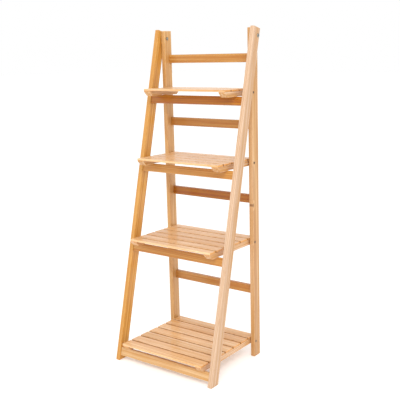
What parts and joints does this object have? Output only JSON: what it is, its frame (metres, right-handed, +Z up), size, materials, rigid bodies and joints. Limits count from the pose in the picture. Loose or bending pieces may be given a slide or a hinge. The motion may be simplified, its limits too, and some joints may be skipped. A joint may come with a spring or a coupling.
{
  "type": "ladder shelf",
  "caption": "Folding ladder shelf in clear-lacquered pine: slatted shelves hinged on the rear frame rest on the crossbars of the leaning front frame.",
  "frame": {"origin": "on the floor under the middle of the whole object, shelves down and frames open", "axes": "+X to the right seen from the open front, +Y to the rear towards the upright frame, +Z up"},
  "size_m": [0.3946, 0.3153, 1.0782],
  "materials": {
    "pine": "clear satin lacquer on planed pine",
    "pine_slat": "clear satin lacquer on planed pine",
    "zinc_steel": "zinc plated, slightly dull"
  },
  "bodies": {
    "rear_frame": {"rear_leg_left": "pine", "rear_leg_right": "pine", "rear_rail_1": "pine", "rear_rail_2": "pine", "rear_rail_3": "pine", "rear_rail_4": "pine", "pivot_bolt_left": "zinc_steel", "pivot_bolt_right": "zinc_steel", "pivot_nut_left": "zinc_steel", "pivot_nut_right": "zinc_steel", "pivot_washer_left": "zinc_steel", "pivot_washer_right": "zinc_steel", "shelf_1_screw_left": "zinc_steel", "shelf_1_screw_right": "zinc_steel", "shelf_2_screw_left": "zinc_steel", "shelf_2_screw_right": "zinc_steel", "shelf_3_screw_left": "zinc_steel", "shelf_3_screw_right": "zinc_steel", "shelf_4_screw_left": "zinc_steel", "shelf_4_screw_right": "zinc_steel"},
    "front_frame": {"front_leg_left": "pine", "front_leg_right": "pine", "front_crossbar_1": "pine", "front_crossbar_2": "pine", "front_crossbar_3": "pine", "front_crossbar_4": "pine"},
    "shelf_1": {"shelf_1_slat_1": "pine_slat", "shelf_1_slat_2": "pine_slat", "shelf_1_slat_3": "pine_slat", "shelf_1_slat_4": "pine_slat", "shelf_1_bearer_left": "pine", "shelf_1_bearer_right": "pine"},
    "shelf_2": {"shelf_2_slat_1": "pine_slat", "shelf_2_slat_2": "pine_slat", "shelf_2_slat_3": "pine_slat", "shelf_2_slat_4": "pine_slat", "shelf_2_slat_5": "pine_slat", "shelf_2_bearer_left": "pine", "shelf_2_bearer_right": "pine"},
    "shelf_3": {"shelf_3_slat_1": "pine_slat", "shelf_3_slat_2": "pine_slat", "shelf_3_slat_3": "pine_slat", "shelf_3_slat_4": "pine_slat", "shelf_3_slat_5": "pine_slat", "shelf_3_slat_6": "pine_slat", "shelf_3_bearer_left": "pine", "shelf_3_bearer_right": "pine"},
    "shelf_4": {"shelf_4_slat_1": "pine_slat", "shelf_4_slat_2": "pine_slat", "shelf_4_slat_3": "pine_slat", "shelf_4_slat_4": "pine_slat", "shelf_4_slat_5": "pine_slat", "shelf_4_slat_6": "pine_slat", "shelf_4_slat_7": "pine_slat", "shelf_4_bearer_left": "pine", "shelf_4_bearer_right": "pine"}
  },
  "joints": [
    {"name": "frame_fold", "type": "hinge", "parent": "rear_frame", "child": "front_frame", "pos_m": [0, 0.11585, 1.049], "axis": [1, 0, 0], "range_deg": [0, 11.5]},
    {"name": "shelf_1_tip", "type": "hinge", "parent": "rear_frame", "child": "shelf_1", "pos_m": [0, 0.11662, 0.876], "axis": [-1, 0, 0], "range_deg": [0, 86]},
    {"name": "shelf_2_tip", "type": "hinge", "parent": "rear_frame", "child": "shelf_2", "pos_m": [0, 0.1203, 0.654], "axis": [-1, 0, 0], "range_deg": [0, 86]},
    {"name": "shelf_3_tip", "type": "hinge", "parent": "rear_frame", "child": "shelf_3", "pos_m": [0, 0.12461, 0.394], "axis": [-1, 0, 0], "range_deg": [0, 86]},
    {"name": "shelf_4_tip", "type": "hinge", "parent": "rear_frame", "child": "shelf_4", "pos_m": [0, 0.13028, 0.0525], "axis": [-1, 0, 0], "range_deg": [0, 86]}
  ]
}
